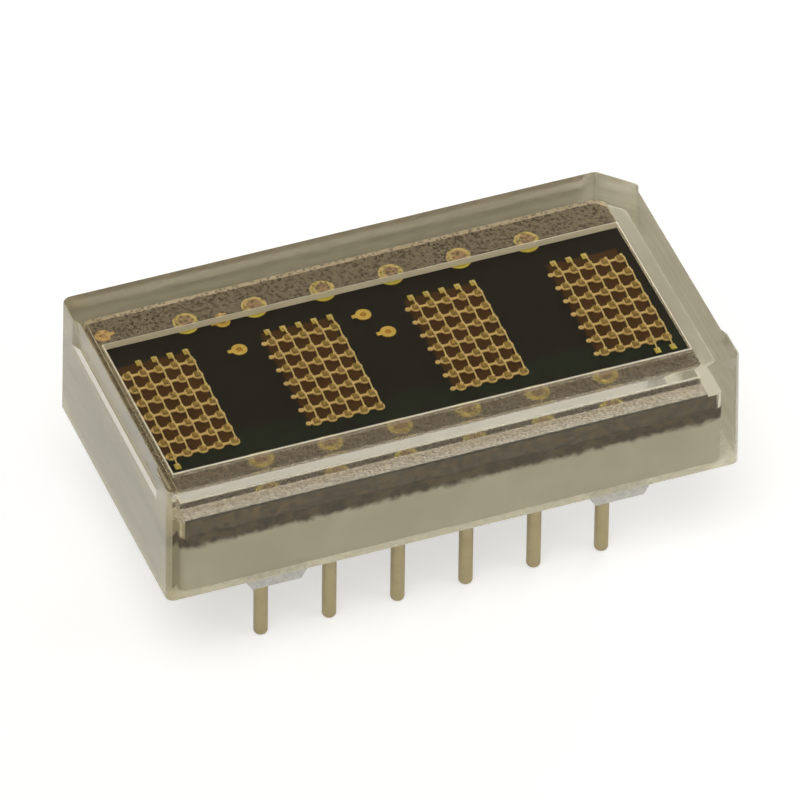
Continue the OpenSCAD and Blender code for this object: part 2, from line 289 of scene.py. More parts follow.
class Finish:
    """A material and its node tree."""

    def __init__(self, name):
        self.material = bpy.data.materials.new(name)
        self.material.use_nodes = True
        self.tree = self.material.node_tree
        self.tree.nodes.clear()
        self.output = self.add("OutputMaterial")
        self.place = self.add("TexCoord").outputs["Object"]
        axes = self.add("SeparateXYZ", {}, {0: self.place})
        self.x = Value(self, axes.outputs[0])
        self.y = Value(self, axes.outputs[1])
        self.z = Value(self, axes.outputs[2])

    def add(self, kind, settings=None, inputs=None):
        return add_node(self.tree, "ShaderNode" + kind, settings, inputs)

    def noise(self, grain, detail=3.0, roughness=0.55, stretch=None, offset=(0, 0, 0)):
        """Cloudy noise from 0 to 1 whose lumps are about grain metres across."""
        place = self.stretched(stretch, offset)
        node = self.add("TexNoise", {}, {
            "Vector": place, "Scale": 1.0 / grain, "Detail": detail, "Roughness": roughness,
        })
        return Value(self, node.outputs["Fac"])

    def cells(self, grain):
        """Distance to the nearest of scattered points that lie about grain metres apart."""
        node = self.add("TexVoronoi", {}, {"Vector": self.place, "Scale": 1.0 / grain})
        return Value(self, node.outputs["Distance"])

    def stretched(self, stretch, offset):
        """Places on the object, moved and scaled for a pattern of its own."""
        if stretch is None and offset == (0, 0, 0):
            return self.place
        change = {"Vector": self.place, "Location": offset, "Scale": stretch or (1, 1, 1)}
        return self.add("Mapping", {}, change).outputs[0]

    def mix(self, share_of_second, first, second):
        """A colour between two colours."""
        node = self.add("Mix", {"data_type": "RGBA"}, {0: share_of_second, 6: first, 7: second})
        return node.outputs[2]

    def bump(self, height, strength, distance):
        shape = {"Height": height, "Strength": strength, "Distance": distance}
        return self.add("Bump", {}, shape).outputs[0]

    def principled(self, **inputs):
        sockets = {name.replace("_", " "): value for name, value in inputs.items()}
        return self.add("BsdfPrincipled", {}, sockets).outputs[0]

    def done(self, shader):
        self.tree.links.new(shader, self.output.inputs["Surface"])
        return self.material


def times(tone, strength):
    """A plain colour made darker or paler."""
    return [part * strength for part in tone]


def is_ray(finish, *kinds):
    """1 for rays of any of these kinds."""
    path = finish.add("LightPath")
    seen = Value(finish, path.outputs[kinds[0]])
    for kind in kinds[1:]:
        seen = seen.math("MAXIMUM", Value(finish, path.outputs[kind]))
    return seen


# ---------- finishes ----------


def clear_plastic(f, settings, tint, rough, normal, haze):
    """Clear plastic that lets lamp light through, with a share of haze that scatters it."""
    dim = settings.gloss
    glass = f.principled(
        Base_Color=tint, Roughness=rough, IOR=settings.index, Specular_Tint=(dim, dim, dim),
        Transmission_Weight=1.0 - haze, Normal=normal,
    )
    clear = f.add("BsdfTransparent", {}, {"Color": tint}).outputs[0]
    both = f.add("MixShader", {}, {0: is_ray(f, "Is Shadow Ray"), 1: glass, 2: clear})
    return f.done(both.outputs[0])


def polished_plastic(settings):
    """The top of the lens and the roof of its pocket."""
    f = Finish("clear_plastic_polished")
    rough = f.noise(0.9 * MM, 3.0).ramp(0.62, 0.8) * 0.03 + 0.01
    normal = f.bump(f.noise(1.6 * MM, 2.0), 0.08, 0.01 * MM)
    return clear_plastic(f, settings, settings.tint, rough, normal, 0.0)


def satin_plastic(settings):
    """The outer face of the front, a little rippled."""
    f = Finish("clear_plastic_satin")
    ripple = f.noise(1.1 * MM, 2.0, stretch=(0.3, 0.3, 1.0))
    orange_peel = f.noise(0.16 * MM, 3.0, offset=(3, 1, 2))
    normal = f.bump(ripple * 0.7 + orange_peel * 0.3, 0.22, 0.02 * MM)
    return clear_plastic(f, settings, settings.tint, orange_peel * 0.06 + 0.07, normal, settings.side_haze)


def frosted_plastic(settings):
    """The ledge over the pin heads, the short end's seat and the pocket's other walls, spark eroded."""
    f = Finish("clear_plastic_frosted")
    pits = f.cells(0.15 * MM).ramp(0.05, 0.7)
    wear = f.noise(0.2 * MM, 4.0, 0.6)
    front = f.y < 0.0
    normal = f.bump((pits * 0.6 + wear * 0.4) * (front * 0.7 + 0.3), 0.9, 0.02 * MM)
    rough = wear.ramp(0.3, 0.7) * 0.1 + front * 0.16 + 0.06
    speckle = (pits * 0.5 + f.noise(0.11 * MM, 3.0, 0.7) * 0.5).ramp(0.38, 0.68)
    dim = speckle * (0.55 - front * 0.35) + front * 0.05 + 0.35
    tint = f.mix(dim, (0.0, 0.0, 0.0), settings.frost)
    return clear_plastic(f, settings, tint, rough, normal, settings.ledge_haze)


def inner_plastic(settings):
    """The inner face of the front wall, where the resin clings to it unevenly."""
    f = Finish("clear_plastic_inner")
    blots = f.noise(0.22 * MM, 4.0, 0.65)
    normal = f.bump(blots, 0.5, 0.015 * MM)
    tint = f.mix(blots.ramp(0.35, 0.65), times(settings.tint, 0.6), settings.tint)
    return clear_plastic(f, settings, tint, blots * 0.1 + 0.15, normal, settings.inner_haze)


def ground_plastic(settings):
    """The pocket's back wall, the line round its roof and the small steps that face up, evenly dull."""
    f = Finish("clear_plastic_ground")
    grain = f.noise(0.08 * MM, 3.0)
    tint = f.mix(grain * 0.3, (0.95, 0.93, 0.9), (0.75, 0.72, 0.68))
    normal = f.bump(grain, 0.5, 0.01 * MM)
    return clear_plastic(f, settings, tint, grain * 0.1 + 0.4, normal, settings.pocket_haze)


def foot_plastic(settings):
    """The standoffs and the lower rim, scuffed and milky."""
    f = Finish("clear_plastic_foot")
    scuffs = f.noise(0.2 * MM, 4.0, 0.6)
    normal = f.bump(scuffs, 0.4, 0.015 * MM)
    tint = f.mix(scuffs.ramp(0.3, 0.7), times(settings.far_milk, 0.7), times(settings.far_milk, 0.9))
    return clear_plastic(f, settings, tint, scuffs * 0.2 + 0.25, normal, settings.foot_haze)


def back_plastic(settings):
    """The outer face of the back, a little hazy and rippled."""
    f = Finish("clear_plastic_back")
    ripple = f.noise(0.6 * MM, 3.0, stretch=(0.5, 0.5, 1.0), offset=(2, 2, 5))
    normal = f.bump(ripple, 0.15, 0.02 * MM)
    tint = f.mix(ripple.ramp(0.35, 0.65), times(settings.back, 0.88), settings.back)
    return clear_plastic(f, settings, tint, ripple * 0.08 + 0.08, normal, settings.back_haze)


def matt_plastic(settings):
    """The ends, the keyed corner and the inner faces of the back, milky, yellower at the short end."""
    f = Finish("clear_plastic_matt")
    flow = f.noise(0.5 * MM, 4.0, 0.6, stretch=(0.15, 0.15, 1.0))
    grain = f.noise(0.1 * MM, 3.0, offset=(2, 7, 1))
    normal = f.bump(flow * 0.5 + grain * 0.5, 0.3, 0.015 * MM)
    past_short_end = f.x.ramp(-9.8 * MM, -8.5 * MM)
    milk = f.mix(past_short_end, settings.milk, settings.far_milk)
    mottle = f.noise(0.2 * MM, 4.0, 0.7, stretch=(0.6, 0.6, 1.0), offset=(4, 1, 6)).ramp(0.42, 0.62)
    on_back = (f.y > BACK_WALL) * (f.x.size() < 9.4 * MM)
    streaks = flow.ramp(0.35, 0.65) * 0.25 + mottle * on_back * 0.35
    tint = f.mix(streaks, milk, times(settings.milk, 0.7))
    return clear_plastic(f, settings, tint, grain * 0.1 + 0.16, normal, settings.end_haze)


def cloudy_resin(settings):
    """Pale cured resin, stained where it has crept up to the board, most of all at the front."""
    f = Finish("potting_resin")
    clouds = f.noise(2.4 * MM, 4.0, 0.6)
    fine = f.noise(0.35 * MM, 3.0, offset=(5, 2, 1))
    tone = f.mix(clouds.ramp(0.35, 0.7), settings.body, settings.cloud)
    blots = f.noise(0.5 * MM, 4.0, 0.65, offset=(3, 8, 2))
    creep = (f.z + blots * (0.5 * MM)).ramp(BOARD_LOW.z - 0.25 * MM, BOARD_LOW.z + 0.05 * MM)
    shaded = f.mix(blots.ramp(0.4, 0.6), settings.creep, times(settings.creep, 0.45))
    at_front = f.y < -BACK_WALL
    tone = f.mix(creep * (at_front * 0.6 + 0.4), tone, shaded)
    normal = f.bump(fine * 0.4 + clouds * 0.6, 0.2, 0.02 * MM)
    return f.done(f.principled(Base_Color=tone, Roughness=fine * 0.2 + 0.35, Normal=normal, IOR=1.5))


def board_resist(settings):
    """Dark resist, with the bare fields under the characters and the sawn edge."""
    f = Finish("board_resist")
    first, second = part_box("row_tracks_1"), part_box("row_tracks_2")
    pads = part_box("bond_pads_2")
    period = second[0].x - first[0].x
    middle = (first[0].x + first[1].x) / 2
    half_l = (first[1].x - first[0].x) / 2
    front, back = first[0].y, pads[1].y
    edge = f.noise(0.2 * MM, 3.0) * (0.12 * MM) - 0.06 * MM
    along = f.x.from_nearest(middle, period)
    inside_l = (along.size() + edge).ramp(half_l - 0.08 * MM, half_l - 0.2 * MM)
    across = (f.y - (front + back) / 2).size() + edge
    inside_w = across.ramp((back - front) / 2 - 0.05 * MM, (back - front) / 2 - 0.17 * MM)
    field = inside_l * inside_w
    mottle = f.noise(0.8 * MM, 4.0, 0.6)
    grain = f.noise(0.07 * MM, 2.0, offset=(1, 4, 2))
    dark = f.mix(mottle.ramp(0.3, 0.75) * 0.5, settings.resist, times(settings.resist, 1.5))
    shore = (f.y - front).size().ramp(0.95 * MM, 0.35 * MM) * mottle.ramp(0.2, 0.6) * 0.9
    dark = f.mix(shore, dark, settings.green)
    bare = f.mix(grain.ramp(0.3, 0.7) * 0.5, settings.field, times(settings.field, 0.7))
    top = f.mix(field, dark, bare)
    ply = f.noise(0.12 * MM, 4.0, 0.65, stretch=(0.3, 0.3, 2.0))
    blots = f.noise(0.3 * MM, 4.0, 0.6, offset=(7, 2, 4))
    layers = (ply * 0.5 + blots * 0.5).ramp(0.38, 0.62)
    sawn = f.mix(layers, times(settings.laminate, 0.3), settings.laminate)
    tone = f.mix(f.z > BOARD_HIGH.z - 0.02 * MM, sawn, top)
    normal = f.bump(grain * 0.5 + mottle * 0.5, 0.25, 0.01 * MM)
    rough = grain * 0.2 + 0.5
    return f.done(f.principled(Base_Color=tone, Roughness=rough, Normal=normal, Specular_IOR_Level=0.15))


def plated(
    name, tone, rough, grain, tarnish=0.35, bump=0.25, metal=1.0, dark_below=None, head=None, rim=None
):
    """Plated metal with a grain, duller patches and small pits, with painted shade below a height.

    A pin has a head painted darker inside, a painted reflection of its domed top, taking the ring's gold
    towards its rim.
    """
    f = Finish(name)
    patches = f.noise(grain * 5, 4.0, 0.6)
    fine = f.noise(grain, 3.0, 0.6, offset=(2, 5, 3))
    dull = [part * (1 - tarnish * (0.35 + 0.15 * i)) for i, part in enumerate(tone)]
    shade = f.mix(patches.ramp(0.4, 0.75), tone, dull)
    # Painted shade: darker and redder below a height, low on the rings and in the dimples of the vias
    if dark_below is not None:
        shade = f.mix(f.z < dark_below, shade, [c * k for c, k in zip(tone, (0.6, 0.42, 0.25))])
    if head is not None:
        (first, row), (second, _) = PIN_AXES[:2]
        along = f.x.from_nearest(first, abs(second - first))
        across = f.y.size() - abs(row)
        radius = (along * along + across * across) ** 0.5
        # Painted reflection: the pin head is painted darker inside, standing in for the dark surroundings
        # that its domed top reflects
        painted_dark = f.mix(fine.ramp(0.35, 0.65), times(head, 0.5), head)
        painted_dark = f.mix(radius.ramp(0.24 * MM, 0.3 * MM), painted_dark, rim)
        shade = f.mix(f.z > BOARD_HIGH.z - 0.1 * MM, shade, painted_dark)
    normal = f.bump(fine, bump, grain * 0.3)
    uneven = patches * 0.15 + fine * 0.1 + (rough - 0.12)
    return f.done(f.principled(Base_Color=shade, Metallic=metal, Roughness=uneven, Normal=normal))


def led_chip(settings):
    """Compound semiconductor die: dark polished top and paler sawn sides."""
    f = Finish("led_die")
    top_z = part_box("led_dice_1")[1].z
    grain = f.noise(0.03 * MM, 3.0)
    cloud = f.noise(0.4 * MM, 2.0, offset=(1, 1, 3))
    top = f.mix(cloud, settings.top, times(settings.top, 0.6))
    side = f.mix(grain, settings.side, times(settings.side, 0.75))
    tone = f.mix(f.z > top_z - 0.004 * MM, side, top)
    normal = f.bump(grain, 0.15, 0.004 * MM)
    return f.done(f.principled(Base_Color=tone, Roughness=grain * 0.2 + 0.3, Normal=normal))


def driver_silicon():
    """Dull grey silicon of the driver chips."""
    f = Finish("driver_silicon")
    cloud = f.noise(0.9 * MM, 3.0)
    tone = f.mix(cloud, (0.09, 0.09, 0.11), (0.14, 0.14, 0.16))
    return f.done(f.principled(Base_Color=tone, Roughness=cloud * 0.2 + 0.2, Metallic=0.4))


def dress(node, material):
    """Gives a CAD node its finish."""
    slots = NODES[node].data.materials
    slots.clear()
    slots.append(material)


# ---------- mesh building ----------


def added(name, data):
    """A new object of the scene that shows this mesh, lamp or camera."""
    thing = bpy.data.objects.new(name, data)
    bpy.context.scene.collection.objects.link(thing)
    return thing


def made(name, bm):
    """Turns a finished bmesh into an object of the scene."""
    bmesh.ops.recalc_face_normals(bm, faces=bm.faces)
    mesh = bpy.data.meshes.new(name)
    bm.to_mesh(mesh)
    bm.free()
    return added(name, mesh)


def chamfer_legs(lens, inset):
    """Legs of the key chamfer on the lens's outline drawn in by inset."""
    return lens.chamfer - inset * (2 - math.sqrt(2))


def lens_outline(lens, inset):
    """Points of the lens's outline drawn in by inset, with rounded corners and the +X, +Y one cut off."""
    half_x, half_y = (LENS_LENGTH - 2 * inset) / 2, (LENS_WIDTH - 2 * inset) / 2
    left, right = LENS_MIDDLE - half_x, LENS_MIDDLE + half_x
    legs = chamfer_legs(lens, inset)
    corners = [
        Vector((left, -half_y)), Vector((right, -half_y)), Vector((right, half_y - legs)),
        Vector((right - legs, half_y)), Vector((left, half_y)),
    ]
    steps_in_quarter = 10
    points = []
    for i, corner in enumerate(corners):
        before = (corners[i - 1] - corner).normalized()
        after = (corners[(i + 1) % len(corners)] - corner).normalized()
        half = before.angle(after) / 2
        start = corner + before * lens.corner / math.tan(half)
        centre = corner + (before + after).normalized() * lens.corner / math.sin(half)
        turn = math.pi - 2 * half
        count = max(3, round(steps_in_quarter * turn / (math.pi / 2)))
        for k in range(count + 1):
            points.append(centre + Matrix.Rotation(turn * k / count, 2) @ (start - centre))
    return points


def band(bm, low, high):
    """Faces between two closed loops of as many points."""
    for i in range(len(low)):
        j = (i + 1) % len(low)
        bm.faces.new((low[i], low[j], high[j], high[i]))


def stacked(name, rings):
    """A closed solid through rings of the same number of points, each (points, height)."""
    bm = bmesh.new()
    loops = [[bm.verts.new((p.x, p.y, z)) for p in points] for points, z in rings]
    for low, high in zip(loops, loops[1:]):
        band(bm, low, high)
    bm.faces.new(list(reversed(loops[0])))
    bm.faces.new(loops[-1])
    return made(name, bm)


def prism(name, points, low, high):
    """An upright solid with this outline."""
    return stacked(name, [([Vector(p) for p in points], low), ([Vector(p) for p in points], high)])


def scaled(piece, factor):
    """Scales a piece's mesh: cutting is exact in millimetres and loses edges in metres."""
    piece.data.transform(Matrix.Scale(factor, 4))
    return piece


def combine(piece, tool, operation):
    """Cuts piece with tool, or joins them, and removes the tool."""
    change = piece.modifiers.new("combine", "BOOLEAN")
    change.operation = operation
    change.solver = "EXACT"
    change.object = scaled(tool, 1 / MM)
    settle(piece)
    bpy.data.objects.remove(tool)


def settle(piece):
    """Makes the result of a piece's modifiers its own plain mesh."""
    bpy.context.view_layer.update()
    evaluated = piece.evaluated_get(bpy.context.evaluated_depsgraph_get())
    mesh = bpy.data.meshes.new_from_object(evaluated)
    piece.modifiers.clear()
    old = piece.data
    piece.data = mesh
    mesh.name = piece.name
    bpy.data.meshes.remove(old)


def tidy_faces(piece, level):
    """Merges doubles and the flat faces that cutting has split, then parts the walls at a level."""
    bm = bmesh.new()
    bm.from_mesh(piece.data)
    bmesh.ops.remove_doubles(bm, verts=bm.verts, dist=1e-4)
    flat = math.radians(0.3)
    bmesh.ops.dissolve_limit(bm, angle_limit=flat, verts=bm.verts, edges=bm.edges, delimit={"MATERIAL"})
    everything = list(bm.verts) + list(bm.edges) + list(bm.faces)
    bmesh.ops.bisect_plane(bm, geom=everything, dist=1e-4, plane_co=(0, 0, level), plane_no=(0, 0, 1))
    bm.to_mesh(piece.data)
    bm.free()


def soften(piece, width):
    """Rounds the sharp edges a little and keeps the flat faces flat in the light."""
    bevel = piece.modifiers.new("edges", "BEVEL")
    bevel.width = width
    bevel.segments = 2
    bevel.limit_method = "ANGLE"
    bevel.angle_limit = math.radians(28)
    bevel.use_clamp_overlap = False
    settle(piece)
    piece.data.shade_smooth()
    flat = piece.modifiers.new("flat_faces", "WEIGHTED_NORMAL")
    flat.mode = "FACE_AREA"
    flat.weight = 90
    flat.keep_sharp = True
    settle(piece)


# ---------- pieces ----------


def moulded_block(s):
    """The outside of the lens: leaning sides, rounded upright corners and rounded top edges."""
    steps = 4
    heights = [(s.foot, 0.0)]
    start = LENS_HIGH.z - s.top_round
    for k in range(steps + 1):
        a = math.radians(90 / steps * k)
        heights.append((start + s.top_round * math.sin(a), s.top_round * (1 - math.cos(a))))
    rings = []
    for z, rounding in heights:
        rings.append((lens_outline(s, math.tan(s.draft) * (z - s.foot) + rounding), z))
    return stacked("lens", rings)


def build_lens(s):
    """The lens, cut from one block, with a finish of its own on each of its faces."""
    lens = scaled(moulded_block(s), 1 / MM)
    seat = BOARD_HIGH.z + s.seat_gap
    top = LENS_HIGH.z
    for x in (-1, 1):
        for y in (-1, 1):
            combine(lens, standoff(s, x, y), "UNION")
    ledge = BOARD_HIGH.z + s.head_room
    combine(lens, prism("cavity", lens_outline(s, s.wall), -0.2 * MM, ledge), "DIFFERENCE")
    for way in (-1, 1):
        combine(lens, prism("seat", seat_outline(s, way), seat, seat + 0.3 * MM), "UNION")
    combine(lens, pocket(s, seat - 0.2 * MM), "DIFFERENCE")
    for way in (-1, 1):
        relief = end_relief(s, way)
        combine(lens, prism("relief", relief, top - s.relief_height, top + OVER), "DIFFERENCE")
    tidy_faces(lens, (s.foot + RECESS) / MM)
    scaled(lens, MM)
    soften(lens, s.edge_round)
    for finish in FINISHES:
        lens.data.materials.append(finish(s))
    for face in lens.data.polygons:
        face.material_index = FINISHES.index(lens_finish(face, s))
    return lens


def pocket(s, low):
    """The air pocket over the characters, from low up to its chamfered roof."""
    half = s.pocket_length / 2
    front = s.pocket_middle - s.pocket_width / 2
    back = s.pocket_middle + s.pocket_width / 2
    rings = []
    roof = BOARD_HIGH.z + s.pocket_height
    for z, inset in ((low, 0.0), (roof - s.pocket_line, 0.0), (roof, s.pocket_line)):
        x0, x1 = inset - half, half - inset
        y0, y1 = front + inset, back - inset
        rings.append(([Vector(p) for p in ((x0, y0), (x1, y0), (x1, y1), (x0, y1))], z))
    return stacked("pocket", rings)


FINISHES = (
    polished_plastic, satin_plastic, frosted_plastic, ground_plastic, foot_plastic, matt_plastic,
    back_plastic, inner_plastic,
)


def lens_finish(face, s):
    """Which finish a face of the lens has, by its place and the way it faces."""
    place, normal = face.center, face.normal
    near, step, hair = 0.03 * MM, 0.02 * MM, 0.01 * MM
    seat = BOARD_HIGH.z + s.seat_gap
    ledge = BOARD_HIGH.z + s.head_room
    roof = BOARD_HIGH.z + s.pocket_height
    within_ends = abs(place.x - LENS_MIDDLE) < LENS_LENGTH / 2 - s.wall + near
    inside = within_ends and abs(place.y) < LENS_HIGH.y - s.wall + near
    if place.z < s.foot + 0.05 * MM or inside and place.z < s.foot + RECESS:
        return foot_plastic
    if normal.z > 0.7:
        return polished_plastic if place.z > LENS_HIGH.z - 0.2 * MM else ground_plastic
    if normal.z < -0.9 and seat - step < place.z < ledge + step:
        long_end = place.x > s.pocket_length / 2 and place.z < ledge - step
        return matt_plastic if long_end else frosted_plastic
    in_length = abs(place.x) < s.pocket_length / 2 + near
    in_width = abs(place.y - s.pocket_middle) < s.pocket_width / 2 + near
    if in_length and in_width and seat < place.z < roof + hair:
        back_wall = place.y > s.pocket_middle + s.pocket_width / 2 - near
        if back_wall or place.z > roof - s.pocket_line and -0.9 < normal.z < -0.3:
            return ground_plastic
        wall = abs(normal.x) > 0.3 or place.y < s.pocket_middle and abs(normal.y) > 0.3
        return frosted_plastic if wall else polished_plastic
    at_back = place.y > BACK_WALL
    if abs(normal.x) > 0.5 or inside and at_back:
        return matt_plastic
    if at_back:
        return back_plastic
    return inner_plastic if inside else satin_plastic


def seat_outline(s, way):
    """Outline of the seat at one end of the pocket, reaching halfway into the walls."""
    inner = way * (s.pocket_length / 2 + 0.05 * MM)
    outer = LENS_MIDDLE + way * (LENS_LENGTH - s.wall) / 2
    half = LENS_HIGH.y - s.wall / 2
    back = half if way < 0 else half - chamfer_legs(s, s.wall / 2)
    return [(inner, -half), (outer, -half), (outer, back), (inner, min(half, back + abs(outer - inner)))]


def end_relief(s, way):
    """Shallow trough in the upper part of an end, with a ramp at each side."""
    outer = LENS_LENGTH / 2
    deep = outer - s.relief_depth - math.tan(s.draft) * (LENS_HIGH.z - s.foot)
    reach = s.relief_length / 2
    slope = s.relief_ramp / (outer - deep)
    flare = slope * (outer + OVER - deep)
    past, flat = LENS_MIDDLE + way * (outer + OVER), LENS_MIDDLE + way * deep
    return [
        (past, s.relief_ramp - reach - flare), (flat, s.relief_ramp - reach),
        (flat, reach - s.relief_ramp), (past, reach - s.relief_ramp + flare),
    ]


def standoff(s, x, y):
    """Tapered foot under the lower edge of a long wall, centred under a corner pin."""
    middle = x * PIN_AXES[5][0]
    outer = y * (LENS_HIGH.y - s.standoff_inset)
    inner = y * (LENS_HIGH.y - s.wall - 0.1 * MM)
    half = s.standoff_length / 2
    rise = s.foot + 0.1 * MM
    side = [
        (s.standoff_lean - half, 0.0), (half - s.standoff_lean, 0.0), (half, rise), (-half, rise),
    ]
    bm = bmesh.new()
    ends = [[bm.verts.new((middle + along, across, z)) for along, z in side] for across in (outer, inner)]
    band(bm, *ends)
    bm.faces.new(ends[0])
    bm.faces.new(ends[1])
    return made("standoff", bm)


def wall_distance(x, y, lens):
    """How far a point inside the lens lies from the nearest wall, chamfered corner included."""
    right = LENS_HIGH.x - lens.wall - x
    left = x - LENS_LOW.x - lens.wall
    back = LENS_HIGH.y - lens.wall - y
    front = y - LENS_LOW.y - lens.wall
    corner = (right + back - chamfer_legs(lens, lens.wall)) / math.sqrt(2)
    return min(right, left, back, front, corner)


def resin_level(x, y, s, lens):
    """Height of the resin's underside, which creeps down the walls and the pins."""
    pin_radius, wall_reach, pin_reach = 0.255 * MM, 0.22 * MM, 0.12 * MM
    level = lens.foot + RECESS
    level += 0.03 * MM * noise.noise(Vector((x, y, 0)) / (2.2 * MM))
    level -= s.wall_climb * math.exp(-max(0.0, wall_distance(x, y, lens)) / wall_reach)
    near = min(math.hypot(x - px, y - py) for px, py in PIN_AXES) - pin_radius
    return level - s.pin_climb * math.exp(-max(0.0, near) / pin_reach)


def resin_block(s, lens):
    """A slab over the whole inside with the shaped underside, to be cut to the walls."""
    step = 0.13 * MM
    over = 0.3 * MM
    xs = spread(LENS_LOW.x + lens.wall - over, LENS_HIGH.x - lens.wall + over, step)
    ys = spread(LENS_LOW.y + lens.wall - over, LENS_HIGH.y - lens.wall + over, step)
    bm = bmesh.new()
    low = [[bm.verts.new((x, y, resin_level(x, y, s, lens))) for y in ys] for x in xs]
    for left, right in zip(low, low[1:]):
        for j in range(len(ys) - 1):
            bm.faces.new((left[j], left[j + 1], right[j + 1], right[j]))
    rim = [row[0] for row in low] + low[-1][1:]
    rim += [row[-1] for row in reversed(low[:-1])] + low[0][-2:0:-1]
    high = [bm.verts.new((v.co.x, v.co.y, BOARD_LOW.z)) for v in rim]
    band(bm, rim, high)
    bm.faces.new(high)
    return made("potting", bm)


def resin_skirt(s, lens):
    """The thin curtain of resin that has risen unevenly between the board and the walls."""
    waves = ((0.16, 0, 1.7 * MM), (0.14, 3 * MM, 0.4 * MM), (0.1, 5 * MM, 0.13 * MM))
    least, mean, inner_share = 0.06, 0.32, 0.6
    insets = (lens.wall - s.contact - 0.004 * MM, lens.wall + s.board_gap - 0.002 * MM)
    base = BOARD_LOW.z
    low = base - 0.06 * MM
    bm = bmesh.new()
    rings = [[], [], [], []]
    for outer, inner in zip(*(evenly(lens_outline(lens, inset), 720) for inset in insets)):
        wave = sum(
            part * noise.noise(Vector((outer.x, outer.y, plane)) / grain) for part, plane, grain in waves
        )
        rise = s.skirt * min(1.0, max(least, mean + wave))
        places = ((outer, low), (outer, base + rise), (inner, base + inner_share * rise), (inner, low))
        for ring, (point, z) in zip(rings, places):
            ring.append(bm.verts.new((point.x, point.y, z)))
    for ring, after in zip(rings, rings[1:] + rings[:1]):
        band(bm, ring, after)
    return made("skirt", bm)


def spread(low, high, step):
    """Numbers from low to high, about step apart."""
    count = round((high - low) / step)
    return [low + (high - low) * i / count for i in range(count + 1)]


def evenly(points, count):
    """The same number of points evenly along a closed outline."""
    closed = [Vector(p) for p in points] + [Vector(points[0])]
    reach = [0.0]
    for a, b in zip(closed, closed[1:]):
        reach.append(reach[-1] + (b - a).length)
    result, k = [], 0
    for i in range(count):
        at = reach[-1] * i / count
        while reach[k + 1] < at:
            k += 1
        result.append(closed[k].lerp(closed[k + 1], (at - reach[k]) / (reach[k + 1] - reach[k])))
    return result


def build_resin(s, lens):
    """The potting under the board, with its skirt beside the board's edge."""
    outline = lens_outline(lens, lens.wall - s.contact)
    resin = scaled(resin_block(s, lens), 1 / MM)
    combine(resin, prism("walls", outline, 0.1 * MM, BOARD_LOW.z + 1 * MM), "INTERSECT")
    combine(resin, resin_skirt(s, lens), "UNION")
    scaled(resin, MM)
    resin.data.shade_smooth()
    resin.data.set_sharp_from_angle(angle=math.radians(35))
    resin.data.materials.append(cloudy_resin(s))
    return resin


def dice_tree(finish):
    """Geometry Nodes that lay a five by seven field of dice with sloped rims round their tops."""
    tree = bpy.data.node_groups.new("dice_field", "GeometryNodeTree")
    interface = tree.interface
    interface.new_socket("Geometry", in_out="INPUT", socket_type="NodeSocketGeometry")
    interface.new_socket("Geometry", in_out="OUTPUT", socket_type="NodeSocketGeometry")
    for name, kind in (
        ("Middle", "Vector"), ("Column pitch", "Float"), ("Row pitch", "Float"), ("Width", "Float"),
        ("Height", "Float"), ("Bevel", "Float"), ("Turn", "Float"), ("Seed", "Int"),
    ):
        interface.new_socket(name, in_out="INPUT", socket_type="NodeSocket" + kind)

    def add(kind, settings=None, inputs=None):
        return add_node(tree, kind, settings, inputs)

    def math_of(operation, a, b):
        return add("ShaderNodeMath", {"operation": operation}, {0: a, 1: b}).outputs[0]

    given = add("NodeGroupInput").outputs
    grid = add("GeometryNodeMeshGrid", {}, {
        "Size X": math_of("MULTIPLY", given["Column pitch"], COLUMNS - 1.0), "Vertices X": COLUMNS,
        "Size Y": math_of("MULTIPLY", given["Row pitch"], ROWS - 1.0), "Vertices Y": ROWS,
    })
    base_height = math_of("SUBTRACT", given["Height"], given["Bevel"])
    size = add("ShaderNodeCombineXYZ", {}, {0: given["Width"], 1: given["Width"], 2: base_height})
    block = add("GeometryNodeMeshCube", {}, {"Size": size.outputs[0]})
    normal = add("GeometryNodeInputNormal")
    upward = add("ShaderNodeVectorMath", {"operation": "DOT_PRODUCT"}, {0: normal.outputs[0], 1: (0, 0, 1)})
    is_top = add("FunctionNodeCompare", {"data_type": "FLOAT", "operation": "GREATER_THAN"}, {
        0: upward.outputs["Value"], 1: 0.5,
    })
    raised = add("GeometryNodeExtrudeMesh", {"mode": "FACES"}, {
        "Mesh": block.outputs["Mesh"], "Selection": is_top.outputs[0], "Offset Scale": given["Bevel"],
    })
    # The rim slopes, so that the top face is 1.6 bevels narrower than the die
    shrink = math_of("DIVIDE", math_of("MULTIPLY", given["Bevel"], -1.6), given["Width"])
    topped = add("GeometryNodeScaleElements", {}, {
        "Geometry": raised.outputs["Mesh"], "Selection": raised.outputs["Top"],
        "Scale": math_of("ADD", shrink, 1.0),
    })
    other_way = math_of("MULTIPLY", given["Turn"], -1.0)
    turn = add("FunctionNodeRandomValue", {"data_type": "FLOAT"}, {
        2: other_way, 3: given["Turn"], "Seed": given["Seed"],
    })
    angle = add("ShaderNodeCombineXYZ", {}, {2: turn.outputs[1]})
    laid = add("GeometryNodeInstanceOnPoints", {}, {
        "Points": grid.outputs["Mesh"], "Instance": topped.outputs[0], "Rotation": angle.outputs[0],
    })
    moved = add("GeometryNodeTransform", {}, {"Geometry": laid.outputs[0], "Translation": given["Middle"]})
    solid = add("GeometryNodeRealizeInstances", {}, {0: moved.outputs[0]})
    dressed = add("GeometryNodeSetMaterial", {}, {"Geometry": solid.outputs[0], "Material": finish})
    add("NodeGroupOutput", {}, {0: dressed.outputs[0]})
    return tree


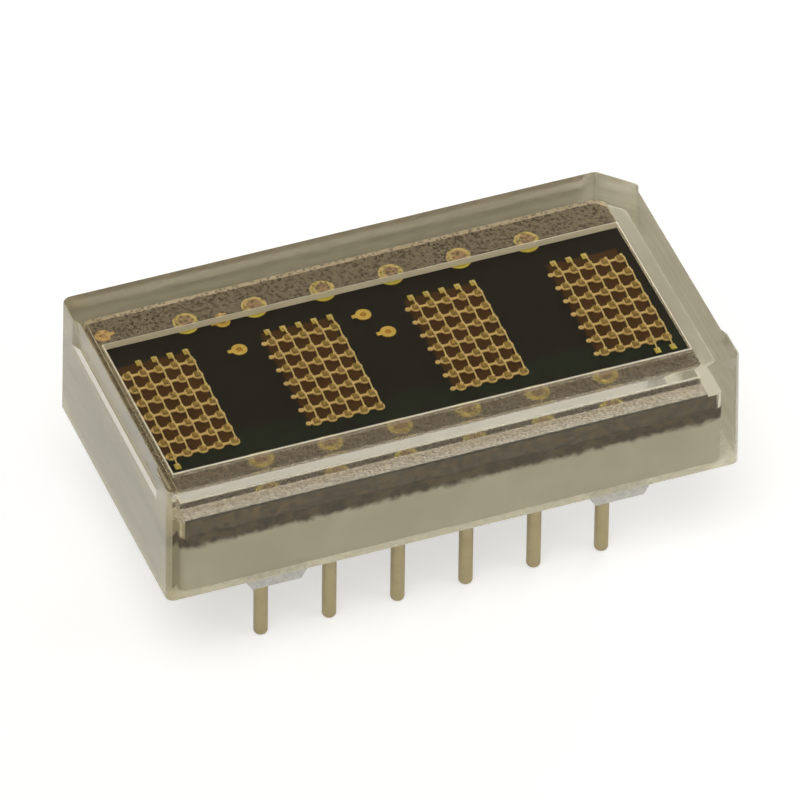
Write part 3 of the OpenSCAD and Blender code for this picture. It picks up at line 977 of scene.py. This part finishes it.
def build_dice(node, tree, seed, s):
    """The dice of one character, standing where its CAD dice stand."""
    low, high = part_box(node)
    rise = high.z - low.z
    middle = Vector(((low.x + high.x) / 2, (low.y + high.y) / 2, low.z + (rise - s.bevel) / 2))
    dice = added(f"dice_{seed}", bpy.data.meshes.new(f"dice_{seed}"))
    field = dice.modifiers.new("field", "NODES")
    field.node_group = tree
    values = {
        "Middle": middle, "Column pitch": s.column_pitch, "Row pitch": s.row_pitch, "Width": s.width,
        "Height": rise, "Bevel": s.bevel, "Turn": s.turn, "Seed": seed,
    }
    for socket in tree.interface.items_tree:
        if socket.in_out == "INPUT" and socket.name in values:
            field[socket.identifier] = values[socket.name]
    settle(dice)
    return dice


# ---------- operators ----------


class Builder(bpy.types.Operator):
    """Shared part of the operators below"""

    bl_options = {"REGISTER", "UNDO"}


class DISPLAY_OT_lens(Builder):
    """Make the clear moulded lens with its pocket, reliefs and standoffs"""

    bl_idname = "led_display.lens"
    bl_label = "Clear lens"

    def execute(self, context):
        lens = build_lens(context.scene.display_lens)
        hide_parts("lens")
        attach(lens, ROOT)
        return {"FINISHED"}


class DISPLAY_OT_resin(Builder):
    """Pour the potting resin under the board"""

    bl_idname = "led_display.resin"
    bl_label = "Potting resin"

    def execute(self, context):
        resin = build_resin(context.scene.display_resin, context.scene.display_lens)
        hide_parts("potting")
        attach(resin, ROOT)
        return {"FINISHED"}


class DISPLAY_OT_board(Builder):
    """Finish the circuit board and the driver chips under it"""

    bl_idname = "led_display.board"
    bl_label = "Circuit board"

    def execute(self, context):
        dress("circuit_board", board_resist(context.scene.display_board))
        chip = driver_silicon()
        dress("driver_chip_left", chip)
        dress("driver_chip_right", chip)
        return {"FINISHED"}


class DISPLAY_OT_gold_work(Builder):
    """Finish the tracks, pads, wires, rings, vias and pins"""

    bl_idname = "led_display.gold_work"
    bl_label = "Gold work"

    def execute(self, context):
        s = context.scene.display_metal
        track = plated("track_gold", s.track, 0.5, 0.06 * MM, metal=0.4)
        pad = plated("pad_gold", s.pad, 0.4, 0.05 * MM, metal=0.5)
        # Painted shade below this height, low on the pin rings and in the via dimples
        painted_dark = BOARD_HIGH.z + 0.02 * MM
        ring = plated("ring_gold", s.ring, 0.4, 0.06 * MM, metal=0.3, dark_below=painted_dark)
        wire = plated("gold_wire", s.wire, 0.4, 0.03 * MM, 0.2, metal=0.6)
        via = plated("via_gold", s.via, 0.45, 0.06 * MM, metal=0.3, dark_below=painted_dark)
        pin = plated("pin_plating", s.pin, 0.45, 0.12 * MM, 0.15, 0.1, head=s.head, rim=s.ring)
        for k in CHARACTERS:
            dress(f"row_tracks_{k}", track)
            dress(f"bond_pads_{k}", pad)
            dress(f"bond_wires_{k}", wire)
        dress("pin_rings", ring)
        dress("board_pads", via)
        for node in PIN_NODES:
            dress(node, pin)
        return {"FINISHED"}


class DISPLAY_OT_dice(Builder):
    """Set the LED dice on their pads, each turned a little its own way"""

    bl_idname = "led_display.dice"
    bl_label = "LED dice"

    def execute(self, context):
        tree = dice_tree(led_chip(context.scene.display_dice))
        for k in CHARACTERS:
            dice = build_dice(f"led_dice_{k}", tree, k, context.scene.display_dice)
            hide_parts(f"led_dice_{k}")
            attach(dice, ROOT)
        return {"FINISHED"}


class DISPLAY_OT_stage(Builder):
    """Set the floor, the even light, the lamps and the camera"""

    bl_idname = "led_display.stage"
    bl_label = "Stage"

    def execute(self, context):
        s = context.scene.display_stage
        set_world(context.scene, s)
        lay_floor(s)
        hang_lamps()
        place_camera(context.scene, s)
        return {"FINISHED"}


def set_world(scene, s):
    """Even white light from all around."""
    world = bpy.data.worlds.new("studio")
    world.use_nodes = True
    background = world.node_tree.nodes["Background"]
    background.inputs["Color"].default_value = (1.0, 1.0, 1.0, 1.0)
    background.inputs["Strength"].default_value = s.world
    scene.world = world
    scene.view_settings.view_transform = "Standard"


def lay_floor(s):
    """A wide sheet of paper at the tips of the pins."""
    low, half = CAD_BOX[0].z, s.floor_half
    floor = prism("floor", [(-half, -half), (half, -half), (half, half), (-half, half)], low - 1 * MM, low)
    f = Finish("paper")
    fibre = f.noise(2 * MM, 3.0)
    tone = f.mix(fibre * 0.3, s.floor, times(s.floor, 0.97))
    paper = f.add("BsdfDiffuse", {}, {"Color": tone}).outputs[0]
    seen = is_ray(f, "Is Camera Ray", "Is Glossy Ray", "Is Transmission Ray")
    glow = f.add("Emission", {}, {"Strength": seen * s.floor_glow}).outputs[0]
    both = f.add("AddShader", {}, {0: paper, 1: glow}).outputs[0]
    floor.data.materials.append(f.done(both))


def hang_lamps():
    """Three square lamps that point at the display, each with its power, its size and its place."""
    for name, power, size, place in (
        ("key", 1.25, 0.3, (-0.12, -0.16, 0.4)),
        ("fill", 0.6, 0.4, (0.36, -0.24, 0.22)),
        ("rim", 0.9, 0.3, (0.3, 0.38, 0.16)),
    ):
        light = bpy.data.lights.new(name, "AREA")
        light.energy = power
        light.size = size
        lamp = added(name, light)
        lamp.location = place
        aim = Vector((0, 0, 2 * MM)) - Vector(place)
        lamp.rotation_euler = aim.to_track_quat("-Z", "Y").to_euler()


def place_camera(scene, s):
    """The camera, aimed at the middle of the lens's lower rim."""
    camera_data = bpy.data.cameras.new("camera")
    camera_data.lens = s.lens
    camera_data.sensor_width = 36.0
    camera_data.shift_x = s.shift_x
    camera_data.shift_y = s.shift_y
    camera_data.clip_start = 0.01
    camera_data.clip_end = 10.0
    camera = added("camera", camera_data)
    flat = math.cos(s.elevation)
    way = Vector((-math.sin(s.azimuth) * flat, -math.cos(s.azimuth) * flat, math.sin(s.elevation)))
    aim = Vector((LENS_MIDDLE, 0, scene.display_lens.foot))
    camera.location = aim + way * s.distance
    turn = (-way).to_track_quat("-Z", "Y").to_matrix() @ Matrix.Rotation(s.roll, 3, "Z")
    camera.rotation_euler = turn.to_euler()
    scene.camera = camera


class DISPLAY_PT_panel(bpy.types.Panel):
    """Lists the pieces in the order in which they are made"""

    bl_idname = "DISPLAY_PT_panel"
    bl_label = "LED display"
    bl_space_type = "VIEW_3D"
    bl_region_type = "UI"
    bl_category = "LED display"

    def draw(self, context):
        for operator in OPERATORS:
            self.layout.operator(operator.bl_idname)
        for group in GROUPS:
            settings = getattr(context.scene, group)
            box = self.layout.box()
            for name in settings.bl_rna.properties.keys():
                if name not in ("rna_type", "name"):
                    box.prop(settings, name)


GROUPS = {
    "display_lens": LensSettings,
    "display_resin": ResinSettings,
    "display_board": BoardSettings,
    "display_metal": MetalSettings,
    "display_dice": DieSettings,
    "display_stage": StageSettings,
}
OPERATORS = (
    DISPLAY_OT_lens, DISPLAY_OT_resin, DISPLAY_OT_board, DISPLAY_OT_gold_work, DISPLAY_OT_dice,
    DISPLAY_OT_stage,
)


def register():
    for group, settings in GROUPS.items():
        bpy.utils.register_class(settings)
        setattr(bpy.types.Scene, group, bpy.props.PointerProperty(type=settings))
    for operator in OPERATORS:
        bpy.utils.register_class(operator)
    bpy.utils.register_class(DISPLAY_PT_panel)


def unregister():
    bpy.utils.unregister_class(DISPLAY_PT_panel)
    for operator in reversed(OPERATORS):
        bpy.utils.unregister_class(operator)
    for group, settings in reversed(GROUPS.items()):
        delattr(bpy.types.Scene, group)
        bpy.utils.unregister_class(settings)


def main():
    register()
    bpy.ops.led_display.lens()
    bpy.ops.led_display.resin()
    bpy.ops.led_display.board()
    bpy.ops.led_display.gold_work()
    bpy.ops.led_display.dice()
    bpy.ops.led_display.stage()


if __name__ == "__main__":
    main()
